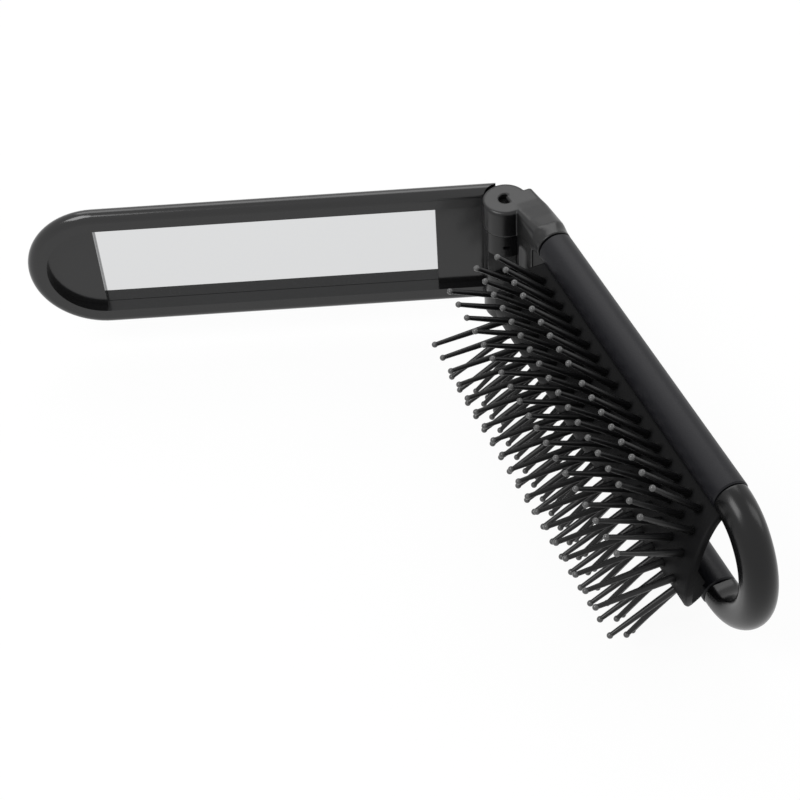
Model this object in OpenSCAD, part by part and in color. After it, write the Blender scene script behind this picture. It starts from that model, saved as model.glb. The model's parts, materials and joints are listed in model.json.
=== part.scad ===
// Folding hairbrush with a built-in mirror: a mirror case and a finger-loop brush on one hinge.
// Each row of pins is a part of its own, so the pins can sink as the case folds shut.
// Brush parts are drawn with x along the brush, y towards its back and z along the hinge.

/* [Overall] */
// Hinge axis to the far end of the mirror case
case_length = 112.0; // [90:0.5:140]
// Width of the case and of the hinge, over the ears
case_width = 34.56; // [28:0.02:44]
// Angle between the mirror case and the brush
open_angle = 110.4; // [60:0.1:180]

/* [Mirror case] */
// Rim plane behind the hinge axis
rim_y = 2.61; // [1.5:0.01:4]
// Radius of the rounded rim
rim_radius = 2.07; // [1.5:0.01:2.5]
// Half height of the hollow between the rims
hollow_half = 12.77; // [10:0.01:14]
// Floor of the hollow behind the hinge axis
floor_y = 4.58; // [3.5:0.01:6]
// Highest point of the curved back behind the hinge axis
crown_y = 10.6; // [9.5:0.1:12]
// Radius of the scoop at the hinge end that clears the barrel
scoop_radius = 5.6; // [5.4:0.05:6.5]
// Hinge axis to the square end of the side walls
wall_end = 1.85; // [1.5:0.05:3]

/* [Mirror] */
// Length of the mirror glass
mirror_length = 79.4; // [60:0.1:90]
// Height of the mirror glass
mirror_height = 25.4; // [20:0.1:28]
// Thickness of the mirror glass
mirror_thickness = 1.0; // [0.8:0.1:1.5]
// Front of the glass behind the hinge axis
mirror_y = 6.15; // [5:0.05:7]
// Hinge axis to the near end of the glass
mirror_near = 15.93; // [12:0.01:20]
// Thickness of the adhesive tape
tape_thickness = 0.25; // [0.1:0.05:0.4]
// Margin of the tape inside the edge of the glass
tape_margin = 2.0; // [1:0.5:5]

/* [Hinge] */
// Radius of the hinge barrel
barrel_radius = 5.17; // [4:0.01:7]
// Half length of the middle knuckle
lug_half = 3.84; // [3:0.01:6]
// Inner end of each ear
ear_inner = 10.0; // [8:0.1:12]
// Flat on the front of the middle knuckle, from the axis
lug_flat = 3.0; // [2:0.1:4]
// Back of the web that joins the middle knuckle to the case
web_back = 7.0; // [6:0.1:8]
// Radius of the hinge pin
pin_radius = 1.5; // [1:0.05:2]
// Depth of the pin below each ear face
pin_recess = 1.5; // [0.5:0.1:3]
// Width of the notch in the upper detent ring
notch_width = 1.4; // [0.8:0.1:3]
// Height of the notch in the upper detent ring
notch_height = 0.9; // [0.5:0.1:2]

/* [Brush frame] */
// Back offset of the rods and sleeves
rail_y = 3.98; // [3:0.01:5]
// Distance of each rod from the middle of the brush
rail_z = 15.45; // [13:0.01:17]
// Outer radius of the sleeves
sleeve_radius = 4.0; // [3.2:0.01:5]
// Radius of the tube of the loop
loop_radius = 3.76; // [3:0.01:5]
// Reach of the loop beyond its seam, to the middle of its tube
loop_depth = 13.25; // [12.2:0.05:15]
// Radius of the two corners of the loop, to the middle of its tube
loop_corner = 11.5; // [9:0.1:12]
// Radius of the rods inside the sleeves
rod_radius = 2.3; // [1.5:0.05:3]
// Start of the sleeves, from the hinge axis
sleeve_start = 17.8; // [15:0.1:22]
// End of the sleeves, from the hinge axis
sleeve_end = 96.9; // [80:0.1:110]
// Depth to which the rods sit in the head
rod_start = 12.0; // [10:0.1:15]
// Width of the flat band round the inside of the loop, from its tube centre
loop_flat = 2.9; // [2:0.05:3.7]

/* [Pad] */
// Outer radius of the arched pad
pad_radius = 15.0; // [12:0.1:18]
// Centre of the arch behind the hinge axis
pad_centre = 5.5; // [3:0.1:8]
// Thickness of the pad
pad_thickness = 1.6; // [1:0.1:2.5]
// Hinge end of the pad on its middle line
pad_start = 13.8; // [12:0.1:17]
// Loop end of the pad on its middle line
pad_end = 104.3; // [95:0.1:108]
// Radius in plan of both ends of the pad
pad_end_radius = 22.4; // [20:0.1:40]

/* [Pins] */
// Distance between pins in a row
pin_pitch = 4.49; // [3.5:0.01:6]
// Radius of a pin at its root
pin_root = 0.95; // [0.6:0.05:1.2]
// Radius of a pin below its ball
pin_neck = 0.5; // [0.3:0.05:0.8]
// Radius of the ball on a pin
pin_ball = 0.9; // [0.6:0.05:1.2]
// Width of the strip of backing that carries a row
strip_width = 2.1; // [1.9:0.05:2.3]

/* [Clearances] */
// Radial clearance of the hinge pin in the ears and the middle knuckle
pin_clearance = 0.05; // [0.01:0.01:0.1]
// Radial clearance of the detent rings on the pin
ring_clearance = 0.02; // [0.01:0.01:0.1]
// End clearance between the knuckles of the hinge
knuckle_gap = 0.08; // [0.05:0.01:0.2]
// Clearance of the rods in the head and in the sleeves
rod_clearance = 0.05; // [0.01:0.01:0.1]
// Seam at each end of the sleeves
sleeve_seam = 0.3; // [0.1:0.05:0.5]
// Clearance of the glass and tape in their pocket
glass_clearance = 0.02; // [0.01:0.01:0.1]
// Clearance of each strip in its slot in the pad
strip_gap = 0.3; // [0.2:0.05:0.5]
// Clearance of the foot of the pad on the sleeves
foot_gap = 0.03; // [0.01:0.01:0.1]

/* [Hidden] */
fold_angle = 180 - open_angle;
half_width = case_width / 2;
end_x = -(case_length - half_width);
rim_z = half_width - rim_radius;
rim_centre_y = rim_y + rim_radius;
crown_rise = crown_y - rim_centre_y;
crown_radius = (pow(rim_z, 2) + pow(crown_rise, 2) - pow(rim_radius, 2)) / (2 * (crown_rise - rim_radius));
crown_centre_y = crown_y - crown_radius;
mirror_mid = -(mirror_near + mirror_length / 2);
pocket_y = mirror_y + mirror_thickness + tape_thickness + 2 * glass_clearance;
loop_start = sleeve_end + sleeve_seam;
head_end = sleeve_start - sleeve_seam;
// The wide crown of the loop meets its two corners where both point the same way
corner_z = rail_z - loop_corner;
loop_crown = (pow(loop_depth, 2) + pow(corner_z, 2) - pow(loop_corner, 2)) / (2 * (loop_depth - loop_corner));
corner_turn = 90 - atan2(corner_z, loop_crown - loop_depth);
// The corners of the loop are this much thicker than its crown, so that the two cross cleanly
loop_step = 0.04;
pin_half = half_width - pin_recess;
// Rows run from the upper edge of the pad to the lower edge
row_names = ["pin_row_1", "pin_row_2", "pin_row_3", "pin_row_4", "pin_row_5", "pin_row_6", "pin_row_7"];
// Place of each row round the arch of the pad, from its crown
row_place = [60, 45, 26.4, 0, -26.4, -45, -60];
// Direction in which the pins of each row point
row_lean = [47.6, 41.8, 28, 0, -28, -41.8, -45];
// Length of the pins of each row, from the pad to the tip
row_reach = [16.6, 16.3, 17, 18, 17, 16.3, 17.2];
// Number of pins in each row
row_count = [17, 18, 19, 19, 19, 18, 17];
// Hinge axis to the first pin of each row
row_first = [23.8, 21.5, 19.3, 19.8, 18.1, 18.9, 18.9];
// Share of the pin pitch at which the pins of each row stand
row_pack = [0.967, 1, 1, 1, 1, 1, 1];
// Pin from which the rest of each row stands shifted, counted from the hinge
row_break = [9, 0, 10, 10, 10, 0, 9];
// Shift of the rest of each row towards the loop
row_shift = [1.8, 0, -0.8, -0.8, -0.8, 0, 1.8];
// The object stands on the tips of the lower row of pins
tip_z = (pad_radius - 0.1) * sin(-row_place[6]) + row_reach[6] * sin(-row_lean[6]);
base_z = tip_z + 0.45 * pin_ball * cos(row_lean[6]);
high_x = (loop_start + loop_depth) * cos(fold_angle) + rail_y * sin(fold_angle) + loop_radius;
low_y = -(loop_start + loop_depth) * sin(fold_angle) + rail_y * cos(fold_angle) - loop_radius;
shift_x = (case_length - high_x) / 2;
shift_y = -(crown_y + low_y) / 2;
fine = 96;
coarse = 20;

module in_frame() {
    translate([shift_x, shift_y, base_z])
        children();
}

module in_brush() {
    in_frame()
        rotate([0, 0, -fold_angle])
            children();
}

// Half of the closed section of the case: x is the distance from the middle, y the depth
module case_half_section() {
    translate([rim_z, rim_centre_y])
        circle(r = rim_radius, $fn = fine);
    translate([0, rim_y])
        square([rim_z, rim_radius]);
    intersection() {
        translate([0, crown_centre_y])
            circle(r = crown_radius, $fn = fine);
        translate([0, rim_centre_y])
            square([rim_z + rim_radius * 0.43, crown_rise]);
    }
}

// Half of the hollow between the rims
module hollow_half_section() {
    translate([0, rim_y - 1])
        square([hollow_half, floor_y - rim_y + 1]);
}

// Sweeps a half section straight along the case and round its far end
module along_case(straight_end) {
    for (side = [0, 1])
        mirror([0, 0, side])
            translate([straight_end, 0, 0])
                rotate([0, -90, 0])
                    linear_extrude(height = straight_end - end_x)
                        children();
    translate([end_x, 0, 0])
        rotate([-90, 0, 0])
            rotate([0, 0, 90])
                rotate_extrude(angle = 180, $fn = fine)
                    children();
}

module case_body() {
    difference() {
        along_case(-wall_end)
            case_half_section();
        along_case(0)
            hollow_half_section();
        for (side = [-1, 1])
            translate([0, 0, side * (half_width + lug_half - knuckle_gap) / 2])
                cylinder(h = half_width - lug_half + knuckle_gap, r = scoop_radius, center = true,
                    $fn = fine);
    }
}

module middle_knuckle() {
    height = 2 * (lug_half - knuckle_gap);
    difference() {
        cylinder(h = height, r = barrel_radius, center = true, $fn = fine);
        translate([0, -lug_flat - barrel_radius / 2, 0])
            cube([3 * barrel_radius, barrel_radius, 2 * height], center = true);
    }
    translate([-scoop_radius / 2, (floor_y + web_back) / 2, 0])
        cube([scoop_radius, web_back - floor_y, height], center = true);
}

module mirror_case() {
    color([0.09, 0.09, 0.1])
        in_frame()
            difference() {
                union() {
                    case_body();
                    middle_knuckle();
                }
                cylinder(h = case_width, r = pin_radius + pin_clearance, center = true, $fn = fine);
                translate([mirror_mid, (floor_y + pocket_y) / 2 - 0.5, 0])
                    cube([mirror_length + 2 * glass_clearance, pocket_y - floor_y + 1, 2 * hollow_half],
                        center = true);
            }
}

module mirror_glass() {
    color([0.8, 0.82, 0.84])
        in_frame()
            translate([mirror_mid, mirror_y + mirror_thickness / 2, 0])
                cube([mirror_length, mirror_thickness, mirror_height], center = true);
}

module mirror_tape() {
    color([0.85, 0.85, 0.8])
        in_frame()
            translate([mirror_mid, pocket_y - glass_clearance - tape_thickness / 2, 0])
                cube([mirror_length - 2 * tape_margin, tape_thickness, mirror_height - 2 * tape_margin],
                    center = true);
}

module hinge_pin() {
    color([0.1, 0.1, 0.1])
        in_frame()
            cylinder(h = 2 * pin_half, r = pin_radius, center = true, $fn = fine);
}

module detent_ring() {
    height = ear_inner - lug_half - knuckle_gap;
    translate([0, 0, lug_half])
        difference() {
            cylinder(h = height, r = barrel_radius, $fn = fine);
            translate([0, 0, -1])
                cylinder(h = height + 2, r = pin_radius + ring_clearance, $fn = fine);
        }
}

module detent_ring_upper() {
    color([0.12, 0.12, 0.13])
        in_frame()
            difference() {
                detent_ring();
                translate([-0.3, -barrel_radius, (lug_half + ear_inner) / 2 - 0.3])
                    cube([notch_width, barrel_radius / 2, notch_height], center = true);
            }
}

module detent_ring_lower() {
    color([0.12, 0.12, 0.13])
        in_frame()
            mirror([0, 0, 1])
                detent_ring();
}

// Section of an arm: a rounded block across the brush, cut by a plane at distance along
module arm_section(along, front, back, low, high, corner) {
    for (y = [front + corner, back - corner])
        for (z = [low + corner, high - corner])
            translate([along, y, z])
                rotate([0, 90, 0])
                    cylinder(h = 0.02, r = corner, $fn = coarse);
}

module ear() {
    translate([0, 0, ear_inner])
        cylinder(h = half_width - ear_inner - 0.3, r = barrel_radius, $fn = fine);
    translate([0, 0, half_width - 0.3])
        cylinder(h = 0.3, r1 = barrel_radius, r2 = barrel_radius - 0.3, $fn = fine);
}

// The arm leaves the ear flat and then swells into the round end that meets the sleeve
module arm() {
    hull() {
        arm_section(-0.7, 0.3, 7.0, ear_inner, half_width, 1.2);
        arm_section(6.0, 0.3, 7.3, ear_inner, half_width, 1.2);
    }
    hull() {
        arm_section(6.0, 0.3, 7.3, ear_inner, half_width, 1.2);
        arm_section(10.6, 0.2, 7.8, ear_inner + 0.8, half_width + 0.9, 1.6);
    }
    hull() {
        arm_section(10.6, 0.2, 7.8, ear_inner + 0.8, half_width + 0.9, 1.6);
        translate([head_end - 1.0, rail_y, rail_z])
            rotate([0, 90, 0])
                cylinder(h = 1.0, r = sleeve_radius + 0.1, $fn = 48);
    }
}

// Wall behind the barrel that joins the two arms
module cross_wall() {
    difference() {
        translate([5.8, 0.4, -ear_inner - 1.5])
            cube([7.4, 5.4, 2 * ear_inner + 3]);
        translate([9.2, -4.2, 0])
            cylinder(h = case_width, r = 5.4, center = true, $fn = fine);
    }
}

module hinge_head() {
    color([0.09, 0.09, 0.1])
        in_brush()
            difference() {
                union() {
                    for (side = [0, 1])
                        mirror([0, 0, side]) {
                            ear();
                            arm();
                        }
                    cross_wall();
                }
                cylinder(h = 2 * case_width, r = pin_radius + pin_clearance, center = true, $fn = fine);
                for (side = [-1, 1])
                    translate([rod_start - rod_clearance, rail_y, side * rail_z])
                        rotate([0, 90, 0])
                            cylinder(h = sleeve_start, r = rod_radius + rod_clearance, $fn = fine);
            }
}

// Bends two tube sections, drawn about their own centre, round the end of the brush: the first
// for the crown, which reaches a little way into the corners, and the second for the corners
module round_loop() {
    reach_in = 2;
    translate([loop_start, rail_y, 0])
        rotate([90, 90, 0]) {
            translate([0, loop_depth - loop_crown, 0])
                rotate([0, 0, corner_turn - reach_in])
                    rotate_extrude(angle = 180 - 2 * corner_turn + 2 * reach_in, $fn = fine)
                        translate([loop_crown, 0])
                            children(0);
            for (side = [0, 1])
                mirror([side, 0, 0])
                    translate([corner_z, 0, 0])
                        rotate_extrude(angle = corner_turn, $fn = fine)
                            translate([loop_corner, 0])
                                children(1);
        }
}

module loop_tube(grow) {
    intersection() {
        circle(r = loop_radius + grow, $fn = fine);
        translate([-loop_flat - grow, -loop_radius - grow])
            square([loop_flat + loop_radius + 2 * grow, 2 * (loop_radius + grow)]);
    }
}

module loop_frame() {
    color([0.09, 0.09, 0.1])
        in_brush() {
            round_loop() {
                loop_tube(0);
                loop_tube(loop_step);
            }
            for (side = [-1, 1])
                translate([rod_start, rail_y, side * rail_z])
                    rotate([0, 90, 0])
                        cylinder(h = loop_start - rod_start + 0.01, r = rod_radius, $fn = fine);
        }
}

module grip_sleeve(side) {
    chamfer = 0.3;
    length = sleeve_end - sleeve_start;
    inner = rod_radius + rod_clearance;
    color([0.16, 0.16, 0.19])
        in_brush()
            translate([sleeve_start, rail_y, side * rail_z])
                rotate([0, 90, 0])
                    rotate_extrude($fn = fine)
                        polygon([[inner, 0], [sleeve_radius - chamfer, 0], [sleeve_radius, chamfer],
                            [sleeve_radius, length - chamfer], [sleeve_radius - chamfer, length],
                            [inner, length]]);
}

module grip_sleeve_upper() {
    grip_sleeve(1);
}

module grip_sleeve_lower() {
    grip_sleeve(-1);
}

// Outline of the pad seen from the front, x along the brush and y along the hinge
module pad_plan() {
    hinge_end = pad_start + pad_end_radius;
    loop_end = pad_end - pad_end_radius;
    intersection() {
        union() {
            translate([hinge_end, 0])
                circle(r = pad_end_radius, $fn = fine);
            translate([loop_end, 0])
                circle(r = pad_end_radius, $fn = fine);
            translate([hinge_end, -pad_radius - 1])
                square([loop_end - hinge_end, 2 * pad_radius + 2]);
        }
        translate([0, -pad_radius - 1])
            square([2 * pad_end, 2 * pad_radius + 2]);
    }
}

// Block along a row, as thick as the pad and a little more each way by over
module row_box(row, width, margin, over) {
    length = (row_count[row] - 1) * pin_pitch * row_pack[row] + row_shift[row];
    translate([row_first[row] - margin, pad_centre, 0])
        rotate([90 - row_place[row], 0, 0])
            translate([0, -width / 2, pad_radius - pad_thickness - over])
                cube([length + 2 * margin, width, pad_thickness + 2 * over]);
}

module bristle_pad() {
    color([0.14, 0.14, 0.17])
        in_brush()
            difference() {
                intersection() {
                    translate([0, pad_centre, 0])
                        rotate([0, 90, 0])
                            difference() {
                                cylinder(h = 2 * pad_end, r = pad_radius, $fn = fine);
                                translate([0, 0, -1])
                                    cylinder(h = 2 * pad_end + 2, r = pad_radius - pad_thickness, $fn = fine);
                            }
                    translate([0, 1.5, 0])
                        rotate([90, 0, 0])
                            linear_extrude(height = pad_radius)
                                pad_plan();
                }
                for (side = [-1, 1])
                    translate([0, rail_y, side * rail_z])
                        rotate([0, 90, 0])
                            cylinder(h = loop_start, r = sleeve_radius + foot_gap, $fn = fine);
                round_loop() {
                    circle(r = loop_radius + foot_gap, $fn = fine);
                    circle(r = loop_radius + loop_step + foot_gap, $fn = fine);
                }
                for (row = [0 : 6])
                    row_box(row, strip_width + 2 * strip_gap, pin_root + 0.5 + strip_gap, 1);
            }
}

// One pin with four sides and a ball of two frusta at its tip
module pin(reach) {
    cylinder(h = reach - pin_ball, r1 = pin_root, r2 = pin_neck, $fn = 4);
    translate([0, 0, reach - 1.9 * pin_ball])
        cylinder(h = pin_ball, r1 = pin_neck, r2 = pin_ball, $fn = 4);
    translate([0, 0, reach - 0.9 * pin_ball])
        cylinder(h = 0.9 * pin_ball, r1 = pin_ball, r2 = pin_ball * 0.45, $fn = 4);
}

module pin_row(row) {
    root_y = pad_centre - (pad_radius - 0.1) * cos(row_place[row]);
    root_z = (pad_radius - 0.1) * sin(row_place[row]);
    pitch = pin_pitch * row_pack[row];
    color([0.1, 0.1, 0.11])
        in_brush() {
            row_box(row, strip_width, pin_root + 0.5, 0);
            for (i = [0 : row_count[row] - 1])
                translate([row_first[row] + i * pitch + (i >= row_break[row] ? row_shift[row] : 0),
                        root_y, root_z])
                    rotate([90 - row_lean[row], 0, 0])
                        pin(row_reach[row]);
        }
}

module pin_row_1() {
    pin_row(0);
}

module pin_row_2() {
    pin_row(1);
}

module pin_row_3() {
    pin_row(2);
}

module pin_row_4() {
    pin_row(3);
}

module pin_row_5() {
    pin_row(4);
}

module pin_row_6() {
    pin_row(5);
}

module pin_row_7() {
    pin_row(6);
}

mirror_case();
mirror_glass();
mirror_tape();
hinge_pin();
detent_ring_upper();
detent_ring_lower();
hinge_head();
loop_frame();
grip_sleeve_upper();
grip_sleeve_lower();
bristle_pad();
pin_row_1();
pin_row_2();
pin_row_3();
pin_row_4();
pin_row_5();
pin_row_6();
pin_row_7();
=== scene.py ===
"""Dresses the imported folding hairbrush: smooth pins, pad and hinge head, finishes, light and camera."""

import json
import math

import bpy
import numpy as np
from mathutils import Matrix, Vector


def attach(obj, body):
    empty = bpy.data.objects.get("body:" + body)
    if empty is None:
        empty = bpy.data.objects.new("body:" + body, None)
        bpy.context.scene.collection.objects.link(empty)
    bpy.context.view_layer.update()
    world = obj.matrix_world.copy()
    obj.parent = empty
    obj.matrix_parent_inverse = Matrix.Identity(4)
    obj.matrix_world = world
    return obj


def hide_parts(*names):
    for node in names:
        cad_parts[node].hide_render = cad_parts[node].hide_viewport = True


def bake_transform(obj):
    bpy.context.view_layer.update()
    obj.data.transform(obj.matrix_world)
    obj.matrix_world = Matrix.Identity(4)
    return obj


bl_info = {
    "name": "Folding hairbrush",
    "version": (1, 0, 0),
    "blender": (4, 5, 0),
    "location": "View3D > Sidebar > Hairbrush",
    "description": "Builds the finished folding hairbrush with its mirror on the packed model",
    "category": "Add Mesh",
}

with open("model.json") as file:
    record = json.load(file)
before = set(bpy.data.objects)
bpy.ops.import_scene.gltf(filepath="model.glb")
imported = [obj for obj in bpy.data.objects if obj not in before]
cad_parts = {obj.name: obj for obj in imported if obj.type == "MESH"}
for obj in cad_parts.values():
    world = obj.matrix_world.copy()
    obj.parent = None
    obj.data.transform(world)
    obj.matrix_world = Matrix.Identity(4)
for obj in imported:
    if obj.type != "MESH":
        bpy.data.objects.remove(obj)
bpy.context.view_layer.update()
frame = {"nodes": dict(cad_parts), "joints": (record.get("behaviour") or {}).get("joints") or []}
NODES = frame["nodes"]
MM = 0.001
ROWS = 7
AXIS = Vector(next(j for j in frame["joints"] if j["name"] == "case_open")["pos_m"])
# The brush leans by this angle from the line of the mirror case
FOLD = math.radians(69.6)
ALONG = Vector((math.cos(FOLD), -math.sin(FOLD), 0.0))
BACK = Vector((math.sin(FOLD), math.cos(FOLD), 0.0))
UP = Vector((0.0, 0.0, 1.0))

# One value for each row of pins, from the upper edge of the pad to the lower edge, in degrees and
# millimetres: its place round the arch, the direction of its pins, their length, their number, the
# distance of the first pin from the hinge axis, the share of the pitch at which they stand, the pin
# from which the rest stand shifted, and that shift
ROW_PLACE = (60.0, 45.0, 26.4, 0.0, -26.4, -45.0, -60.0)
ROW_LEAN = (47.6, 41.8, 28.0, 0.0, -28.0, -41.8, -45.0)
ROW_REACH = (16.6, 16.3, 17.0, 18.0, 17.0, 16.3, 17.2)
ROW_COUNT = (17, 18, 19, 19, 19, 18, 17)
ROW_FIRST = (23.8, 21.5, 19.3, 19.8, 18.1, 18.9, 18.9)
ROW_PACK = (0.967, 1.0, 1.0, 1.0, 1.0, 1.0, 1.0)
ROW_BREAK = (9, 0, 10, 10, 10, 0, 9)
ROW_SHIFT = (1.8, 0.0, -0.8, -0.8, -0.8, 0.0, 1.8)

# Angles round the arch of the pad, in degrees: the edges of its strips, and the end of each foot
# on the outer face and on the inner face
STRIP_EDGES = (66.0, 52.5, 35.7, 13.2, -13.2, -35.7, -52.5, -66.0)
PAD_EDGE = STRIP_EDGES[0]
FOOT_OUTER = 70.3
FOOT_INNER = 72.0


class HeadSizes(bpy.types.PropertyGroup):
    """Sizes of the hinge head, in millimetres"""

    barrel_radius: bpy.props.FloatProperty(
        name="Barrel radius", description="Outer radius of the hinge ears", default=5.32, min=4.0, max=7.0)
    ear_inner: bpy.props.FloatProperty(
        name="Ear inner end", description="Distance of each ear from the middle",
        default=10.0, min=8.0, max=12.0)
    half_width: bpy.props.FloatProperty(
        name="Half width", description="Distance of each ear face from the middle",
        default=17.28, min=14.0, max=22.0)
    hole_radius: bpy.props.FloatProperty(
        name="Hole radius", description="Radius of the hole for the hinge pin",
        default=1.55, min=1.0, max=2.1)
    rail_back: bpy.props.FloatProperty(
        name="Rail offset", description="Distance of the sleeves behind the hinge axis",
        default=3.98, min=3.0, max=5.0)
    rail_side: bpy.props.FloatProperty(
        name="Rail spacing", description="Distance of each sleeve from the middle",
        default=15.45, min=13.0, max=17.0)
    end_radius: bpy.props.FloatProperty(
        name="Arm end radius", description="Radius of the round end of each arm",
        default=4.06, min=3.0, max=5.0)


class LoopSizes(bpy.types.PropertyGroup):
    """Sizes of the finger loop and its rods, in millimetres"""

    start: bpy.props.FloatProperty(
        name="Start", description="Distance of the loop's seam from the hinge axis",
        default=97.2, min=80.0, max=110.0)
    depth: bpy.props.FloatProperty(
        name="Depth", description="Reach of the loop beyond its seam", default=13.25, min=12.2, max=15.0)
    corner: bpy.props.FloatProperty(
        name="Corner radius", description="Radius of the two corners of the loop",
        default=11.5, min=9.0, max=12.0)
    tube: bpy.props.FloatProperty(
        name="Tube radius", description="Radius of the tube of the loop", default=3.79, min=3.0, max=5.0)
    flat: bpy.props.FloatProperty(
        name="Inner flat", description="Distance of the flat inside from the middle of the tube",
        default=3.4, min=2.0, max=3.7)
    squareness: bpy.props.FloatProperty(
        name="Inner squareness", description="Power that squares the inner half of the tube, 1 for round",
        default=0.74, min=0.5, max=1.0)
    rod: bpy.props.FloatProperty(
        name="Rod radius", description="Radius of the rods inside the sleeves",
        default=2.3, min=1.5, max=3.0)
    rod_start: bpy.props.FloatProperty(
        name="Rod start", description="Distance of the rods' ends from the hinge axis",
        default=12.0, min=10.0, max=15.0)


class PadSizes(bpy.types.PropertyGroup):
    """Sizes of the soft pad, in millimetres"""

    radius: bpy.props.FloatProperty(
        name="Arch radius", description="Outer radius of the arched pad", default=15.0, min=12.0, max=18.0)
    centre: bpy.props.FloatProperty(
        name="Arch centre", description="Centre of the arch behind the hinge axis",
        default=5.5, min=3.0, max=8.0)
    thickness: bpy.props.FloatProperty(
        name="Thickness", description="Thickness of the pad", default=1.6, min=1.0, max=2.5)
    start: bpy.props.FloatProperty(
        name="Start", description="Hinge end of the pad on its middle line",
        default=13.8, min=12.0, max=17.0)
    end: bpy.props.FloatProperty(
        name="End", description="Loop end of the pad on its middle line",
        default=105.2, min=95.0, max=108.0)
    end_radius: bpy.props.FloatProperty(
        name="End radius", description="Radius in plan of both ends", default=20.0, min=17.0, max=40.0)
    corner: bpy.props.FloatProperty(
        name="Corner radius", description="Radius in plan of the lower corner at the loop",
        default=1.5, min=1.0, max=9.0)
    skew: bpy.props.FloatProperty(
        name="End skew", description="How much shorter the pad is at its lower edge",
        default=2.2, min=0.0, max=6.0)
    dimple_depth: bpy.props.FloatProperty(
        name="Dimple depth", description="Depth of the dimple round each pin",
        default=0.45, min=0.0, max=1.0)
    dimple_radius: bpy.props.FloatProperty(
        name="Dimple radius", description="Radius of the dimple round each pin",
        default=1.45, min=1.0, max=2.0)


class PinSizes(bpy.types.PropertyGroup):
    """Sizes of the pins, in millimetres"""

    pitch: bpy.props.FloatProperty(
        name="Pitch", description="Distance between pins in a row", default=4.49, min=3.5, max=6.0)
    root: bpy.props.FloatProperty(
        name="Root radius", description="Radius of a pin where it leaves the pad",
        default=0.86, min=0.6, max=1.2)
    neck: bpy.props.FloatProperty(
        name="Neck radius", description="Radius of a pin below its ball", default=0.5, min=0.3, max=0.8)
    ball: bpy.props.FloatProperty(
        name="Ball radius", description="Radius of the ball at the tip", default=0.7, min=0.6, max=1.2)


class FinishColours(bpy.types.PropertyGroup):
    """Base colours of the finishes; the light grey of the tips is painted reflection on balls that are black
    plastic like the stems
    """

    case: bpy.props.FloatVectorProperty(
        name="Case", description="Glossy plastic of the mirror case", subtype="COLOR", size=3,
        default=(0.0055, 0.0055, 0.0058), min=0.0, max=1.0)
    hinge: bpy.props.FloatVectorProperty(
        name="Hinge and loop", description="Glossy plastic of the hinge and the finger loop",
        subtype="COLOR", size=3,
        default=(0.0055, 0.0055, 0.0058), min=0.0, max=1.0)
    grip: bpy.props.FloatVectorProperty(
        name="Grip", description="Soft coat of the two sleeves", subtype="COLOR", size=3,
        default=(0.0075, 0.0075, 0.0095), min=0.0, max=1.0)
    pad: bpy.props.FloatVectorProperty(
        name="Pad", description="Soft rubber of the pad", subtype="COLOR", size=3,
        default=(0.0035, 0.0035, 0.0038), min=0.0, max=1.0)
    pins: bpy.props.FloatVectorProperty(
        name="Pins", description="Plastic of the pins", subtype="COLOR", size=3,
        default=(0.004, 0.004, 0.0043), min=0.0, max=1.0)
    # The light grey of the tips is painted reflection: the balls are black plastic like the stems, and this
    # grey stands in for the sheen they show
    tips: bpy.props.FloatVectorProperty(
        name="Tips", description="Balls at the tips of the pins", subtype="COLOR", size=3,
        default=(0.066, 0.066, 0.066), min=0.0, max=1.0)


def in_brush(along, back, side):
    """A point given along the brush, towards its back and along the hinge, in millimetres."""
    return AXIS + (ALONG * along + BACK * back + UP * side) * MM


def finish(name, colour, roughness, metallic=0.0, grain=0.0, grain_size=400.0, rough_spread=0.0,
           specular=0.5):
    """A plain shader with a fine grain, and a little unevenness in its gloss."""
    material = bpy.data.materials.get(name)
    if material:
        return material
    material = bpy.data.materials.new(name)
    material.use_nodes = True
    nodes = material.node_tree.nodes
    links = material.node_tree.links
    shader = nodes["Principled BSDF"]
    shader.inputs["Base Color"].default_value = (*colour, 1.0)
    shader.inputs["Roughness"].default_value = roughness
    shader.inputs["Metallic"].default_value = metallic
    shader.inputs["Specular IOR Level"].default_value = specular
    material.diffuse_color = (*colour, 1.0)
    if grain or rough_spread:
        place = nodes.new("ShaderNodeTexCoord")
        noise = nodes.new("ShaderNodeTexNoise")
        noise.inputs["Scale"].default_value = grain_size
        noise.inputs["Detail"].default_value = 3.0
        links.new(place.outputs["Object"], noise.inputs["Vector"])
        if grain:
            bump = nodes.new("ShaderNodeBump")
            bump.inputs["Strength"].default_value = grain
            bump.inputs["Distance"].default_value = 0.0002
            links.new(noise.outputs["Fac"], bump.inputs["Height"])
            links.new(bump.outputs["Normal"], shader.inputs["Normal"])
        if rough_spread:
            spread = nodes.new("ShaderNodeMapRange")
            spread.inputs["To Min"].default_value = roughness - rough_spread
            spread.inputs["To Max"].default_value = roughness + rough_spread
            links.new(noise.outputs["Fac"], spread.inputs["Value"])
            links.new(spread.outputs["Result"], shader.inputs["Roughness"])
    return material


def inner_volume(mesh):
    """The volume that a closed mesh holds, negative where its faces point inwards."""
    mesh.calc_loop_triangles()
    at = np.array([v.co for v in mesh.vertices])
    corner = at[np.array([t.vertices for t in mesh.loop_triangles])]
    return float(np.einsum("ij,ij->i", corner[:, 0], np.cross(corner[:, 1], corner[:, 2])).sum()) / 6


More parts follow.
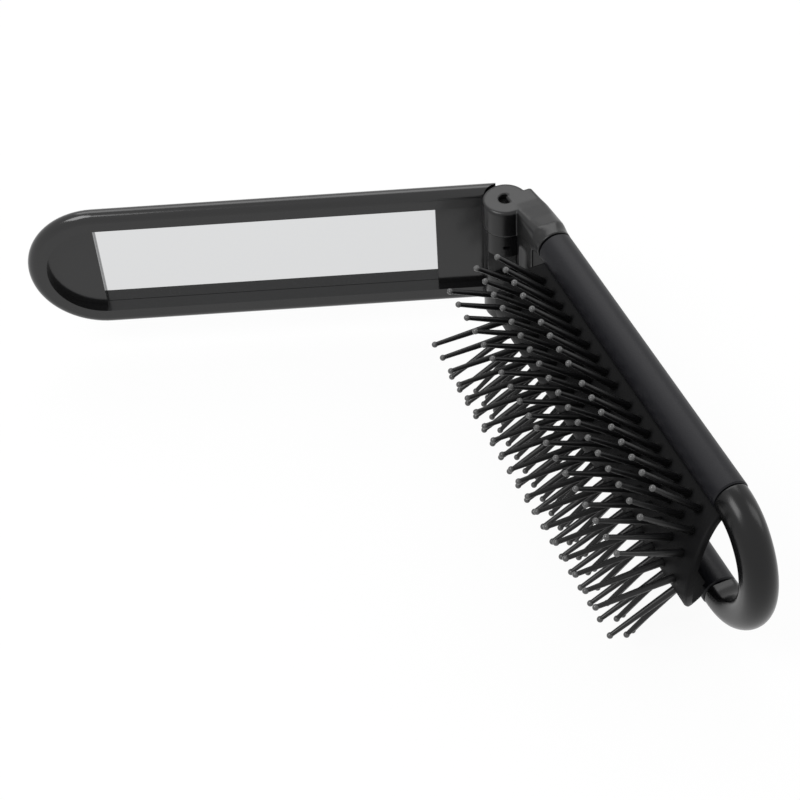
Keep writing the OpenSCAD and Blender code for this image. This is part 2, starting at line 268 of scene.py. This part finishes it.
def moulded(name, parts, material, grain, rounds, *hollows):
    """One moulded piece from overlapping closed parts less its hollows, with its edges rounded."""
    whole = parts[0]
    for part in (*parts[1:], *hollows):
        cut = whole.modifiers.new("Join", "BOOLEAN")
        cut.operation = "DIFFERENCE" if part in hollows else "UNION"
        cut.solver = "EXACT"
        cut.object = part
    skin = whole.modifiers.new("Skin", "REMESH")
    skin.mode = "VOXEL"
    skin.voxel_size = grain
    soften = whole.modifiers.new("Soften", "SMOOTH")
    soften.factor = 0.5
    soften.iterations = rounds
    bpy.context.view_layer.update()
    ready = whole.evaluated_get(bpy.context.evaluated_depsgraph_get())
    mesh = bpy.data.meshes.new_from_object(ready)
    whole.modifiers.clear()
    for part in (*parts, *hollows):
        bpy.data.objects.remove(part)
    mesh.name = name
    mesh.materials.clear()
    mesh.materials.append(material)
    mesh.shade_smooth()
    piece = bpy.data.objects.new(name, mesh)
    bpy.context.scene.collection.objects.link(piece)
    return piece


def mesh_piece(name, points, faces, material, crease=35.0):
    """A smooth mesh object at the origin, with edges sharper than the crease angle kept sharp."""
    mesh = bpy.data.meshes.new(name)
    mesh.from_pydata([tuple(p) for p in points], [], faces)
    mesh.validate()
    mesh.update()
    if inner_volume(mesh) < 0:
        mesh.flip_normals()
    mesh.shade_smooth()
    mesh.set_sharp_from_angle(angle=math.radians(crease))
    mesh.materials.append(material)
    piece = bpy.data.objects.new(name, mesh)
    bpy.context.scene.collection.objects.link(piece)
    return piece


def settle(piece, body, slot, *nodes):
    """Puts a finished piece on its body and hides the nodes it stands for; the slot is not used."""
    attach(piece, body)
    if nodes:
        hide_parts(*nodes)
    return piece


def rings_to_faces(rings, count, start=0):
    """Quads between neighbouring rings of points, with both ends capped."""
    faces = []
    for r in range(rings - 1):
        low = start + r * count
        for i in range(count):
            j = (i + 1) % count
            faces.append((low + i, low + j, low + count + j, low + count + i))
    faces.append(tuple(start + i for i in reversed(range(count))))
    faces.append(tuple(start + (rings - 1) * count + i for i in range(count)))
    return faces


def lathe(profile, steps, place):
    """Turns a closed profile of radius and height round the hinge axis."""
    points = []
    faces = []
    size = len(profile)
    for s in range(steps):
        turn = 2 * math.pi * s / steps
        for radius, height in profile:
            points.append(place(radius * math.cos(turn), radius * math.sin(turn), height))
    for s in range(steps):
        t = (s + 1) % steps
        for i in range(size):
            j = (i + 1) % size
            faces.append((s * size + i, t * size + i, t * size + j, s * size + j))
    return points, faces


def capsule(radius, half, steps):
    """A round-ended rod along the hinge direction."""
    points = []
    quarter = 12
    for k in range(1, 2 * quarter):
        tilt = math.pi * k / (2 * quarter)
        height = -radius * math.cos(tilt) + (half if k > quarter else -half)
        for s in range(steps):
            turn = 2 * math.pi * s / steps
            points.append((radius * math.sin(tilt) * math.cos(turn),
                           radius * math.sin(tilt) * math.sin(turn), height))
    return points, rings_to_faces(2 * quarter - 1, steps)


def arm_stations(sizes):
    """Front, back, inner and outer limits and corner radius of an arm, at even steps along it."""
    end = sizes.end_radius
    back = sizes.rail_back
    side = sizes.rail_side
    inner = sizes.ear_inner
    outer = sizes.half_width
    known = np.array([
        (-0.7, 0.3, 7.0, inner, outer, 0.9),
        (3.0, 0.3, 7.5, inner, outer + 0.05, 1.1),
        (5.6, 0.3, 7.85, inner, outer + 0.35, 1.3),
        (9.9, 0.2, 8.05, inner + 0.8, outer + 1.05, 2.0),
        (14.0, back - end * 0.99, back + end * 1.01, side - end * 0.98, side + end * 0.99, end * 0.72),
        (16.2, back - end, back + end, side - end, side + end, end * 0.995),
        (17.5, back - end, back + end, side - end, side + end, end * 0.995),
    ])
    stations = 92
    reach = 4
    along = np.linspace(known[0, 0], known[-1, 0], stations)
    rows = np.stack([np.interp(along, known[:, 0], known[:, c]) for c in range(1, 6)], axis=1)
    kernel = np.hanning(2 * reach + 1)
    kernel /= kernel.sum()
    padded = np.vstack([np.repeat(rows[:1], reach, axis=0), rows, np.repeat(rows[-1:], reach, axis=0)])
    rows = np.stack([np.convolve(padded[:, c], kernel, mode="valid") for c in range(5)], axis=1)
    return along, rows


def arm_ring(front, back, low, high, corner, steps=14):
    """Points round a rounded block, as back and side offsets."""
    corner = min(corner, (back - front) / 2 * 0.999, (high - low) / 2 * 0.999)
    ring = []
    for k, (cy, cz) in enumerate(((back - corner, high - corner), (front + corner, high - corner),
                                  (front + corner, low + corner), (back - corner, low + corner))):
        for s in range(steps):
            turn = math.radians(90 * k + 90 * s / (steps - 1))
            ring.append((cy + corner * math.cos(turn), cz + corner * math.sin(turn)))
    return ring


def build_head(sizes, material):
    """The two ears, the two arms and the wall behind the barrel, as one mesh."""
    parts = []
    inner = sizes.ear_inner
    outer = sizes.half_width
    radius = sizes.barrel_radius
    edge = 0.9
    lip = 0.18
    bevel = 0.12
    steps = 6
    profile = [(sizes.hole_radius, inner), (radius - bevel, inner), (radius, inner + bevel)]
    for s in range(steps + 1):
        turn = math.radians(90 * s / steps)
        profile.append((radius - edge + edge * math.cos(turn), outer - edge + edge * math.sin(turn)))
    profile += [(sizes.hole_radius + lip, outer), (sizes.hole_radius, outer - lip)]
    along, rows = arm_stations(sizes)
    for side in (1, -1):
        ear_points, ear_faces = lathe(profile, 96, lambda x, y, z, s=side: in_brush(x, y, s * z))
        parts.append(mesh_piece("ear", ear_points, ear_faces, material))
        first = arm_ring(*(rows[0] + np.array([0.3, -0.3, 0.3, -0.3, -0.2])))
        rings = [(along[0] - 0.28, first)]
        rings += [(a, arm_ring(*row)) for a, row in zip(along, rows)]
        bevel_in = 0.14
        last = rows[-1] + bevel_in * np.array([1, -1, 1, -1, -1])
        rings[-1] = (along[-1] - bevel_in, rings[-1][1])
        rings.append((along[-1], arm_ring(*last)))
        arm_points = [in_brush(a, y, side * z) for a, ring in rings for y, z in ring]
        parts.append(mesh_piece("arm", arm_points, rings_to_faces(len(rings), len(first)), material))
    corners = ((5.2, 0.35), (13.2, 0.35), (13.2, 5.8), (5.2, 5.8))
    wall = [in_brush(x, y, z) for z in (-12.6, 12.6) for x, y in corners]
    parts.append(mesh_piece("wall", wall, rings_to_faces(2, 4), material))
    dip_points, dip_faces = capsule(5.4, 6.6, 48)
    dip_points = [in_brush(9.2 + x, -4.2 + y, z) for x, y, z in dip_points]
    dip = mesh_piece("dip", dip_points, dip_faces, material)
    return moulded("head", parts, material, 0.17 * MM, 6, dip)


def loop_stations(loop, side):
    """Places along the rods and the loop: distance, height, turn from the lower side, and tube size."""
    corner_z = side - loop.corner
    crown = (loop.depth ** 2 + corner_z ** 2 - loop.corner ** 2) / (2 * (loop.depth - loop.corner))
    meet = math.pi / 2 - math.atan2(corner_z, crown - loop.depth)
    # The rod, and the rounded step up to the tube at the seam
    rounded = ((-0.02, loop.rod), (0.0, loop.tube - 0.12), (0.04, loop.tube - 0.05), (0.14, loop.tube))
    half = [(loop.rod_start, -side, 0.0, loop.rod)]
    half += [(loop.start + past, -side, 0.0, size) for past, size in rounded]
    corner_steps = 24
    for k in range(1, corner_steps + 1):
        turn = meet * k / corner_steps
        along = loop.start + loop.corner * math.sin(turn)
        half.append((along, -corner_z - loop.corner * math.cos(turn), turn, loop.tube))
    crown_steps = 30
    for k in range(1, crown_steps + 1):
        turn = meet + (math.pi / 2 - meet) * k / crown_steps
        along = loop.start + loop.depth - crown + crown * math.sin(turn)
        half.append((along, -crown * math.cos(turn), turn, loop.tube))
    return half + [(a, -z, math.pi - turn, size) for a, z, turn, size in reversed(half[:-1])]


def build_loop(loop, head, material):
    """The finger loop with its flat inside, and the two rods, as one swept piece."""
    steps = 72
    lip = 0.35
    points = []
    stations = loop_stations(loop, head.rail_side)
    for along, height, turn, size in stations:
        for k in range(steps):
            spin = 2 * math.pi * k / steps
            out, back = size * math.cos(spin), size * math.sin(spin)
            if out < 0 and size > loop.rod:
                out = -size * (-out / size) ** loop.squareness
                back = math.copysign(size * abs(back / size) ** loop.squareness, back)
            under = -out - (loop.flat - lip)
            if under > 0:
                out = -(loop.flat - lip) - lip * math.tanh(under / lip)
            points.append(in_brush(along + out * math.sin(turn), head.rail_back + back,
                                   height - out * math.cos(turn)))
    return mesh_piece("loop", points, rings_to_faces(len(stations), steps), material, crease=40.0)


def arch_point(sizes, along, angle, radius):
    """A point of the pad's arch: its distance along, its angle from the crest and its radius."""
    turn = math.radians(angle)
    return in_brush(along, sizes.centre - radius * math.cos(turn), radius * math.sin(turn))


def pin_seats(pins, row):
    """Places of the pins along one row, in millimetres from the hinge axis."""
    seats = []
    for i in range(ROW_COUNT[row]):
        step = ROW_SHIFT[row] if ROW_BREAK[row] and i >= ROW_BREAK[row] else 0.0
        seats.append(ROW_FIRST[row] + i * pins.pitch * ROW_PACK[row] + step)
    return seats


def build_pad_strip(name, sizes, pins, low, high, low_inner, high_inner, material):
    """One strip of the pad between two angles, closed all round, with a dimple at each pin."""
    outer = sizes.radius
    inner = sizes.radius - sizes.thickness
    cell = 0.34
    lengthwise = 270
    near_pin = 2.5
    round_over = 0.7
    round_depth = 0.3
    across = max(4, int(math.radians(high - low) * outer / cell))
    t = np.linspace(0, 1, across + 1)
    s = np.linspace(0, 1, lengthwise + 1)
    seats = [(a, math.radians(ROW_PLACE[r]) * outer) for r in range(ROWS) for a in pin_seats(pins, r)]

    def sheet(angle_low, angle_high, radius, dimpled):
        points = []
        for k in s:
            for m in t:
                angle = angle_low + (angle_high - angle_low) * m
                side = outer * math.sin(math.radians(angle))
                bow = sizes.end_radius - math.sqrt(sizes.end_radius ** 2 - side ** 2)
                start = sizes.start + bow
                past = min(max(-math.radians(angle + PAD_EDGE) * outer + sizes.corner, 0.0), sizes.corner)
                end = sizes.end - bow - sizes.corner + math.sqrt(sizes.corner ** 2 - past ** 2)
                end -= sizes.skew * max(0.0, -angle / PAD_EDGE)
                a = start + (end - start) * k
                r = radius
                if dimpled:
                    arc = math.radians(angle) * outer
                    near = min((a - p) ** 2 + (arc - q) ** 2 for p, q in close(a, arc))
                    fall = max(0.0, 1.0 - math.sqrt(near) / sizes.dimple_radius)
                    r -= sizes.dimple_depth * fall * fall * (3 - 2 * fall)
                    edge = max(0.0, 1.0 - min(a - start, end - a) / round_over)
                    r -= round_depth * edge * edge
                points.append(arch_point(sizes, a, angle, r))
        return points

    def close(a, arc):
        near = [seat for seat in seats if abs(seat[0] - a) < near_pin and abs(seat[1] - arc) < near_pin]
        far_away = (1e3, 1e3)
        return near or [far_away]

    top = sheet(low, high, outer, True)
    bottom = sheet(low_inner, high_inner, inner, False)
    count = across + 1
    total = len(top)
    faces = []
    for k in range(lengthwise):
        for m in range(across):
            a = k * count + m
            faces.append((a, a + 1, a + count + 1, a + count))
            b = total + a
            faces.append((b, b + count, b + count + 1, b + 1))
    for k in range(lengthwise):
        a = k * count
        faces.append((a, a + count, total + a + count, total + a))
        b = a + across
        faces.append((b, total + b, total + b + count, b + count))
    for m in range(across):
        faces.append((m, total + m, total + m + 1, m + 1))
        b = lengthwise * count + m
        faces.append((b, b + 1, total + b + 1, total + b))
    return mesh_piece(name, top + bottom, faces, material, crease=50.0)


def pin_tree():
    """Geometry nodes that stand a tapered pin with a ball tip on every point."""
    tree = bpy.data.node_groups.new("Pins on points", "GeometryNodeTree")
    face = tree.interface
    face.new_socket("Geometry", in_out="INPUT", socket_type="NodeSocketGeometry")
    for label in ("Length", "Root radius", "Neck radius", "Ball radius"):
        face.new_socket(label, in_out="INPUT", socket_type="NodeSocketFloat")
    face.new_socket("Turn", in_out="INPUT", socket_type="NodeSocketVector")
    face.new_socket("Stem finish", in_out="INPUT", socket_type="NodeSocketMaterial")
    face.new_socket("Tip painted sheen finish", in_out="INPUT", socket_type="NodeSocketMaterial")
    face.new_socket("Geometry", in_out="OUTPUT", socket_type="NodeSocketGeometry")
    make = tree.nodes.new
    link = tree.links.new
    given = make("NodeGroupInput")
    result = make("NodeGroupOutput")

    line = make("GeometryNodeCurvePrimitiveLine")
    top = make("ShaderNodeCombineXYZ")
    reach = make("ShaderNodeMath")
    reach.operation = "SUBTRACT"
    link(given.outputs["Length"], reach.inputs[0])
    link(given.outputs["Ball radius"], reach.inputs[1])
    link(reach.outputs[0], top.inputs["Z"])
    link(top.outputs[0], line.inputs["End"])
    fine = make("GeometryNodeResampleCurve")
    fine.inputs["Count"].default_value = 9
    link(line.outputs[0], fine.inputs["Curve"])
    part = make("GeometryNodeSplineParameter")
    flare = make("ShaderNodeMath")
    flare.operation = "POWER"
    flare.inputs[1].default_value = 0.95
    link(part.outputs["Factor"], flare.inputs[0])
    width = make("ShaderNodeMapRange")
    link(flare.outputs[0], width.inputs["Value"])
    link(given.outputs["Root radius"], width.inputs["To Min"])
    link(given.outputs["Neck radius"], width.inputs["To Max"])
    ring = make("GeometryNodeCurvePrimitiveCircle")
    ring.inputs["Resolution"].default_value = 12
    ring.inputs["Radius"].default_value = 1.0
    stem = make("GeometryNodeCurveToMesh")
    stem.inputs["Fill Caps"].default_value = True
    link(fine.outputs[0], stem.inputs["Curve"])
    link(width.outputs["Result"], stem.inputs["Scale"])
    link(ring.outputs[0], stem.inputs["Profile Curve"])
    stem_paint = make("GeometryNodeSetMaterial")
    link(stem.outputs[0], stem_paint.inputs["Geometry"])
    link(given.outputs["Stem finish"], stem_paint.inputs["Material"])

    ball = make("GeometryNodeMeshUVSphere")
    ball.inputs["Segments"].default_value = 14
    ball.inputs["Rings"].default_value = 9
    link(given.outputs["Ball radius"], ball.inputs["Radius"])
    lift = make("GeometryNodeTransform")
    link(ball.outputs["Mesh"], lift.inputs["Geometry"])
    link(top.outputs[0], lift.inputs["Translation"])
    # The tips get their own finish, whose grey is painted reflection
    ball_paint = make("GeometryNodeSetMaterial")
    link(lift.outputs[0], ball_paint.inputs["Geometry"])
    link(given.outputs["Tip painted sheen finish"], ball_paint.inputs["Material"])

    pin = make("GeometryNodeJoinGeometry")
    link(ball_paint.outputs[0], pin.inputs[0])
    link(stem_paint.outputs[0], pin.inputs[0])
    stand = make("GeometryNodeInstanceOnPoints")
    link(given.outputs["Geometry"], stand.inputs["Points"])
    link(pin.outputs[0], stand.inputs["Instance"])
    turn = make("FunctionNodeEulerToRotation")
    link(given.outputs["Turn"], turn.inputs[0])
    link(turn.outputs[0], stand.inputs["Rotation"])
    real = make("GeometryNodeRealizeInstances")
    link(stand.outputs[0], real.inputs[0])
    smooth = make("GeometryNodeSetShadeSmooth")
    link(real.outputs[0], smooth.inputs["Geometry"])
    link(smooth.outputs[0], result.inputs[0])
    return tree


def build_pin_row(row, pad, pins, tree, stem_finish, tip_painted_sheen_finish):
    """One row of pins, baked from the node tree to a plain mesh."""
    sunk = 0.75
    place = ROW_PLACE[row]
    roots = [arch_point(pad, a, place, pad.radius - sunk) for a in pin_seats(pins, row)]
    mesh = bpy.data.meshes.new(f"pins_{row + 1}_seats")
    mesh.from_pydata([tuple(p) for p in roots], [], [])
    seats = bpy.data.objects.new(f"pins_{row + 1}_seats", mesh)
    bpy.context.scene.collection.objects.link(seats)
    lean = math.radians(ROW_LEAN[row])
    heading = -BACK * math.cos(lean) + UP * math.sin(lean)
    side = heading.cross(ALONG)
    turn = Matrix((ALONG, side, ALONG.cross(side))).transposed().to_euler()
    modifier = seats.modifiers.new("Pins", "NODES")
    modifier.node_group = tree
    values = {
        "Length": (ROW_REACH[row] + sunk - 0.05) * MM,
        "Root radius": pins.root * MM,
        "Neck radius": pins.neck * MM,
        "Ball radius": pins.ball * MM,
        "Turn": tuple(turn),
        "Stem finish": stem_finish,
        "Tip painted sheen finish": tip_painted_sheen_finish,
    }
    for item in tree.interface.items_tree:
        if item.in_out == "INPUT" and item.name in values:
            modifier[item.identifier] = values[item.name]
    bpy.context.view_layer.update()
    ready = seats.evaluated_get(bpy.context.evaluated_depsgraph_get())
    baked = bpy.data.meshes.new_from_object(ready)
    seats.modifiers.clear()
    bpy.data.objects.remove(seats)
    baked.name = f"pins_{row + 1}"
    piece = bpy.data.objects.new(f"pins_{row + 1}", baked)
    bpy.context.scene.collection.objects.link(piece)
    return piece


def all_finishes():
    """The materials of the brush by short names, each made once."""
    colours = bpy.context.scene.brush_finishes
    return {
        "case": finish("Glossy plastic", colours.case, 0.16, rough_spread=0.03, grain=0.02, grain_size=60.0),
        "hinge": finish("Hinge gloss", colours.hinge, 0.24, rough_spread=0.03, grain=0.04, grain_size=110.0,
                        specular=0.28),
        "head": finish("Hinge satin", colours.hinge, 0.3, rough_spread=0.05, grain=0.06, grain_size=160.0,
                       specular=0.36),
        "grip": finish("Soft grip", colours.grip, 0.42, grain=0.12, grain_size=2600.0, specular=0.19),
        "pad": finish("Pad rubber", colours.pad, 0.5, grain=0.1, grain_size=2000.0, specular=0.07),
        "pins": finish("Pin plastic", colours.pins, 0.32, specular=0.35),
        # The grey of the tips is painted reflection standing in for the sheen on black balls
        "tips": finish("Pin tips painted sheen", colours.tips, 0.16),
        "mirror": finish("Silvered glass", (0.72, 0.725, 0.73), 0.012, metallic=1.0),
        "tape": finish("Tape", (0.6, 0.6, 0.57), 0.7),
        "plug": finish("Pin end", (0.004, 0.004, 0.004), 0.6, specular=0.1),
    }


class HAIRBRUSH_OT_finishes(bpy.types.Operator):
    """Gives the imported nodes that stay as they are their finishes"""

    bl_idname = "hairbrush.finishes"
    bl_label = "Finish the packed pieces"

    def execute(self, context):
        finishes = all_finishes()
        wanted = {
            "mirror_case": "case", "mirror_glass": "mirror", "mirror_tape": "tape", "hinge_pin": "plug",
            "detent_ring_upper": "hinge", "detent_ring_lower": "hinge",
            "grip_sleeve_upper": "grip", "grip_sleeve_lower": "grip",
        }
        for node, key in wanted.items():
            NODES[node].data.materials[0] = finishes[key]
        return {"FINISHED"}


class HAIRBRUSH_OT_head(bpy.types.Operator):
    """Builds the hinge head with its ears, arms and wall"""

    bl_idname = "hairbrush.head"
    bl_label = "Build the hinge head"

    def execute(self, context):
        head = build_head(context.scene.brush_head, all_finishes()["head"])
        settle(head, "brush_frame", "hinge_plastic", "hinge_head")
        return {"FINISHED"}


class HAIRBRUSH_OT_loop(bpy.types.Operator):
    """Builds the finger loop and its rods"""

    bl_idname = "hairbrush.loop"
    bl_label = "Build the finger loop"

    def execute(self, context):
        scene = context.scene
        loop = build_loop(scene.brush_loop, scene.brush_head, all_finishes()["hinge"])
        settle(loop, "brush_frame", "hinge_plastic", "loop_frame")
        return {"FINISHED"}


class HAIRBRUSH_OT_pad(bpy.types.Operator):
    """Builds the soft pad as strips that follow the rows of pins"""

    bl_idname = "hairbrush.pad"
    bl_label = "Build the pad"

    def execute(self, context):
        sizes = context.scene.brush_pad
        pins = context.scene.brush_pins
        material = all_finishes()["pad"]
        for row in range(ROWS):
            high, low = STRIP_EDGES[row], STRIP_EDGES[row + 1]
            strip = build_pad_strip(f"pad_{row + 1}", sizes, pins, low, high, low, high, material)
            settle(strip, f"row_{row + 1}", "pad_rubber", "bristle_pad")
        for name, side, row in (("pad_foot_upper", 1, 1), ("pad_foot_lower", -1, ROWS)):
            limits = (PAD_EDGE, FOOT_OUTER, PAD_EDGE, FOOT_INNER)
            if side < 0:
                limits = (-FOOT_OUTER, -PAD_EDGE, -FOOT_INNER, -PAD_EDGE)
            foot = build_pad_strip(name, sizes, pins, *limits, material)
            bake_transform(foot)
            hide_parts("bristle_pad")
        return {"FINISHED"}


class HAIRBRUSH_OT_pins(bpy.types.Operator):
    """Builds the seven rows of pins"""

    bl_idname = "hairbrush.pins"
    bl_label = "Build the pins"

    def execute(self, context):
        tree = pin_tree()
        finishes = all_finishes()
        for row in range(ROWS):
            piece = build_pin_row(row, context.scene.brush_pad, context.scene.brush_pins, tree,
                                  finishes["pins"], finishes["tips"])
            settle(piece, f"row_{row + 1}", "pin_plastic", f"pin_row_{row + 1}")
        bpy.data.node_groups.remove(tree)
        return {"FINISHED"}


def area_light(name, place, aim, size, power):
    """A rectangular soft light at a place, turned to a point."""
    lamp = bpy.data.lights.new(name, "AREA")
    lamp.shape = "RECTANGLE"
    lamp.size, lamp.size_y = size
    lamp.energy = power
    light = bpy.data.objects.new(name, lamp)
    light.location = place
    light.rotation_euler = (Vector(aim) - Vector(place)).to_track_quat("-Z", "Y").to_euler()
    bpy.context.scene.collection.objects.link(light)


def seen_directly(tree):
    """A socket that is 1 where the camera, a reflection or a clear piece shows the surface, else 0."""
    path = tree.nodes.new("ShaderNodeLightPath")
    seen = path.outputs["Is Camera Ray"]
    for kind in ("Is Glossy Ray", "Is Transmission Ray"):
        either = tree.nodes.new("ShaderNodeMath")
        either.operation = "MAXIMUM"
        tree.links.new(seen, either.inputs[0])
        tree.links.new(path.outputs[kind], either.inputs[1])
        seen = either.outputs[0]
    return seen


class HAIRBRUSH_OT_stage(bpy.types.Operator):
    """Builds the floor, the light and the camera"""

    bl_idname = "hairbrush.stage"
    bl_label = "Build the stage"

    def execute(self, context):
        scene = context.scene
        scene.view_settings.view_transform = "Standard"
        reach = 3.0
        mesh = bpy.data.meshes.new("floor")
        mesh.from_pydata([(-reach, -reach, 0), (reach, -reach, 0), (reach, reach, 0), (-reach, reach, 0)], [],
                         [(0, 1, 2, 3)])
        floor = bpy.data.objects.new("floor", mesh)
        scene.collection.objects.link(floor)
        paint = bpy.data.materials.new("Floor")
        paint.use_nodes = True
        nodes = paint.node_tree.nodes
        links = paint.node_tree.links
        shader = nodes["Principled BSDF"]
        shader.inputs["Base Color"].default_value = (0.86, 0.86, 0.86, 1.0)
        shader.inputs["Roughness"].default_value = 0.9
        glow = nodes.new("ShaderNodeEmission")
        glow.inputs["Color"].default_value = (1.0, 1.0, 1.0, 1.0)
        share = nodes.new("ShaderNodeMath")
        share.operation = "MULTIPLY"
        share.inputs[1].default_value = 0.94
        links.new(seen_directly(paint.node_tree), share.inputs[0])
        blend = nodes.new("ShaderNodeMixShader")
        links.new(share.outputs[0], blend.inputs["Fac"])
        links.new(shader.outputs[0], blend.inputs[1])
        links.new(glow.outputs[0], blend.inputs[2])
        links.new(blend.outputs[0], nodes["Material Output"].inputs["Surface"])
        mesh.materials.append(paint)

        world = bpy.data.worlds.new("Studio")
        scene.world = world
        world.use_nodes = True
        sky = world.node_tree.nodes["Background"]
        sky.inputs["Color"].default_value = (1.0, 1.0, 1.0, 1.0)
        level = world.node_tree.nodes.new("ShaderNodeMapRange")
        level.inputs["To Min"].default_value = 0.6
        level.inputs["To Max"].default_value = 1.0
        world.node_tree.links.new(seen_directly(world.node_tree), level.inputs["Value"])
        world.node_tree.links.new(level.outputs["Result"], sky.inputs["Strength"])
        area_light("Key", (-0.34, -0.16, 0.60), (0.0, 0.0, 0.02), (0.34, 0.34), 2.4)
        area_light("Side", (0.60, 0.05, 0.40), (0.0, -0.02, 0.02), (0.25, 0.45), 0.8)
        area_light("Rear", (-0.02, 0.52, 0.60), (0.0, 0.0, 0.02), (0.75, 0.40), 2.2)

        frame_width = 800.0
        focal_pixels = 1989.86
        lens = bpy.data.cameras.new("Camera")
        lens.sensor_width = 36.0
        lens.lens = 36.0 * focal_pixels / frame_width
        lens.clip_start = 0.01
        camera = bpy.data.objects.new("Camera", lens)
        scene.collection.objects.link(camera)
        pan, tilt, roll = math.radians(-0.70), math.radians(47.59), math.radians(-4.22)
        ahead = Vector((math.sin(pan) * math.cos(tilt), math.cos(pan) * math.cos(tilt), -math.sin(tilt)))
        across = Vector((math.cos(pan), -math.sin(pan), 0.0))
        above = across.cross(ahead)
        right = across * math.cos(roll) + above * math.sin(roll)
        upward = -across * math.sin(roll) + above * math.cos(roll)
        turn = Matrix((right, upward, -ahead)).transposed()
        eye = AXIS + Vector((-23.07, -336.93, 320.77)) * MM
        camera.matrix_world = Matrix.Translation(eye) @ turn.to_4x4()
        scene.camera = camera
        return {"FINISHED"}


class HAIRBRUSH_PT_panel(bpy.types.Panel):
    """Lists the steps that build the hairbrush"""

    bl_idname = "HAIRBRUSH_PT_panel"
    bl_label = "Hairbrush"
    bl_space_type = "VIEW_3D"
    bl_region_type = "UI"
    bl_category = "Hairbrush"

    def draw(self, context):
        scene = context.scene
        groups = (scene.brush_head, scene.brush_loop, scene.brush_pad, scene.brush_pins, scene.brush_finishes)
        for group in groups:
            box = self.layout.box()
            for key in group.__annotations__:
                box.prop(group, key)
        for operator in STEPS:
            self.layout.operator(operator.bl_idname)


GROUPS = (HeadSizes, LoopSizes, PadSizes, PinSizes, FinishColours)
STEPS = (HAIRBRUSH_OT_stage, HAIRBRUSH_OT_finishes, HAIRBRUSH_OT_head, HAIRBRUSH_OT_loop, HAIRBRUSH_OT_pad,
         HAIRBRUSH_OT_pins)


def register():
    for cls in (*GROUPS, *STEPS, HAIRBRUSH_PT_panel):
        bpy.utils.register_class(cls)
    bpy.types.Scene.brush_head = bpy.props.PointerProperty(type=HeadSizes)
    bpy.types.Scene.brush_loop = bpy.props.PointerProperty(type=LoopSizes)
    bpy.types.Scene.brush_pad = bpy.props.PointerProperty(type=PadSizes)
    bpy.types.Scene.brush_pins = bpy.props.PointerProperty(type=PinSizes)
    bpy.types.Scene.brush_finishes = bpy.props.PointerProperty(type=FinishColours)


def unregister():
    for name in ("brush_finishes", "brush_pins", "brush_pad", "brush_loop", "brush_head"):
        delattr(bpy.types.Scene, name)
    for cls in reversed((*GROUPS, *STEPS, HAIRBRUSH_PT_panel)):
        bpy.utils.unregister_class(cls)


def main():
    """Registers the classes and builds the brush."""
    register()
    bpy.ops.hairbrush.stage()
    bpy.ops.hairbrush.finishes()
    bpy.ops.hairbrush.head()
    bpy.ops.hairbrush.loop()
    bpy.ops.hairbrush.pad()
    bpy.ops.hairbrush.pins()


if __name__ == "__main__":
    main()
